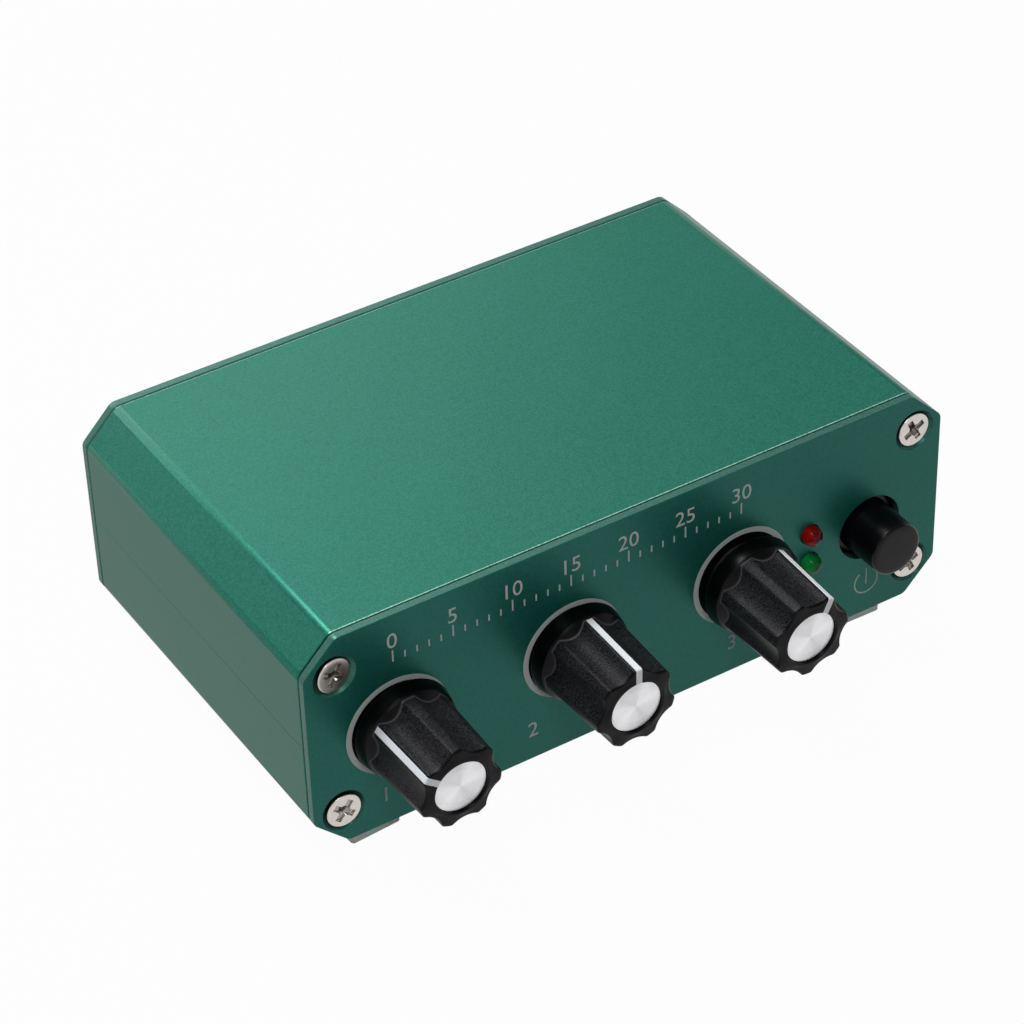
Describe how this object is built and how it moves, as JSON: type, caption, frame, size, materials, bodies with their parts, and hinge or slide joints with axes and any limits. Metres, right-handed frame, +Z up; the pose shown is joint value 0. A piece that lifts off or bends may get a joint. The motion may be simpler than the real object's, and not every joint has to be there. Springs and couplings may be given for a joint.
{
  "type": "rf preamplifier",
  "caption": "Desktop radio-frequency preamplifier: green split metal case, tuning and gain knobs, power button and lamps in front, coaxial jacks behind.",
  "frame": {"origin": "middle of the footprint (knobs and rear jacks included), on the surface the feet stand on", "axes": "+X to the right seen from the front, +Y from the front panel to the rear jacks, +Z up"},
  "size_m": [0.104, 0.0899, 0.0374],
  "materials": {
    "anodised_case": "bead-blasted green anodised",
    "anodised_panel": "bead-blasted green anodised",
    "nickel": "bright nickel plate",
    "steel": "turned",
    "foot_rubber": "translucent pale rubber",
    "board": "solder mask",
    "knob_plastic": "fine grained black",
    "knob_cap": "turned in fine rings",
    "pointer_white": "smooth white",
    "pot_plastic": "moulded",
    "button_plastic": "satin black",
    "plunger_plastic": "moulded",
    "red_lens": "clear red, unlit",
    "green_lens": "clear green, unlit",
    "gold": "gold plate",
    "insulator": "white fluoroplastic",
    "jack_plastic": "moulded black",
    "ferrite": "sintered",
    "relay_plastic": "moulded",
    "capacitor_sleeve": "shrunk sleeve",
    "chip_ceramic": "ceramic"
  },
  "bodies": {
    "case": {"upper_shell": "anodised_case", "lower_shell": "anodised_case", "front_panel": "anodised_panel", "rear_panel": "anodised_panel", "front_panel_screws": "nickel", "rear_panel_screws": "nickel", "rubber_feet": "foot_rubber", "main_board": "board", "tune_bushing": "nickel", "tune_pot": "pot_plastic", "fine_bushing": "nickel", "fine_pot": "pot_plastic", "gain_bushing": "nickel", "gain_pot": "pot_plastic", "pot_nuts": "nickel", "pot_washers": "nickel", "pot_terminals": "nickel", "power_switch": "jack_plastic", "red_lamp": "red_lens", "green_lamp": "green_lens", "lamp_leads": "nickel", "antenna_jack": "gold", "antenna_insulator": "insulator", "antenna_contact": "gold", "receiver_jack": "gold", "receiver_insulator": "insulator", "receiver_contact": "gold", "rf_nuts": "gold", "rf_washers": "gold", "power_inlet": "jack_plastic", "inlet_pin": "nickel", "key_jack": "jack_plastic", "key_nut": "nickel", "tuning_coils": "nickel", "tuning_cores": "ferrite", "bypass_relays": "relay_plastic", "smoothing_capacitors": "capacitor_sleeve", "amplifier_ring": "ferrite", "amplifier_transistor": "jack_plastic", "voltage_regulator": "jack_plastic", "chip_parts": "chip_ceramic"},
    "tune_control": {"tune_knob": "knob_plastic", "tune_cap": "knob_cap", "tune_pointer": "pointer_white", "tune_shaft": "steel"},
    "fine_control": {"fine_knob": "knob_plastic", "fine_cap": "knob_cap", "fine_pointer": "pointer_white", "fine_shaft": "steel"},
    "gain_control": {"gain_knob": "knob_plastic", "gain_cap": "knob_cap", "gain_pointer": "pointer_white", "gain_shaft": "steel"},
    "button_control": {"power_button": "button_plastic", "switch_plunger": "plunger_plastic"}
  },
  "joints": [
    {"name": "tune_turn", "type": "hinge", "parent": "case", "child": "tune_control", "pos_m": [-0.038, -0.03, 0.0188], "axis": [0, 1, 0], "range_deg": [-95, 205]},
    {"name": "fine_turn", "type": "hinge", "parent": "case", "child": "fine_control", "pos_m": [-0.0102, -0.03, 0.0188], "axis": [0, 1, 0], "range_deg": [-154, 146]},
    {"name": "gain_turn", "type": "hinge", "parent": "case", "child": "gain_control", "pos_m": [0.0176, -0.03, 0.0188], "axis": [0, 1, 0], "range_deg": [-181, 119]},
    {"name": "button_press", "type": "slide", "parent": "case", "child": "button_control", "axis": [0, 1, 0], "range_m": [0, 0.0025], "stiffness_N_per_m": 500, "springref_m": -0.002}
  ]
}
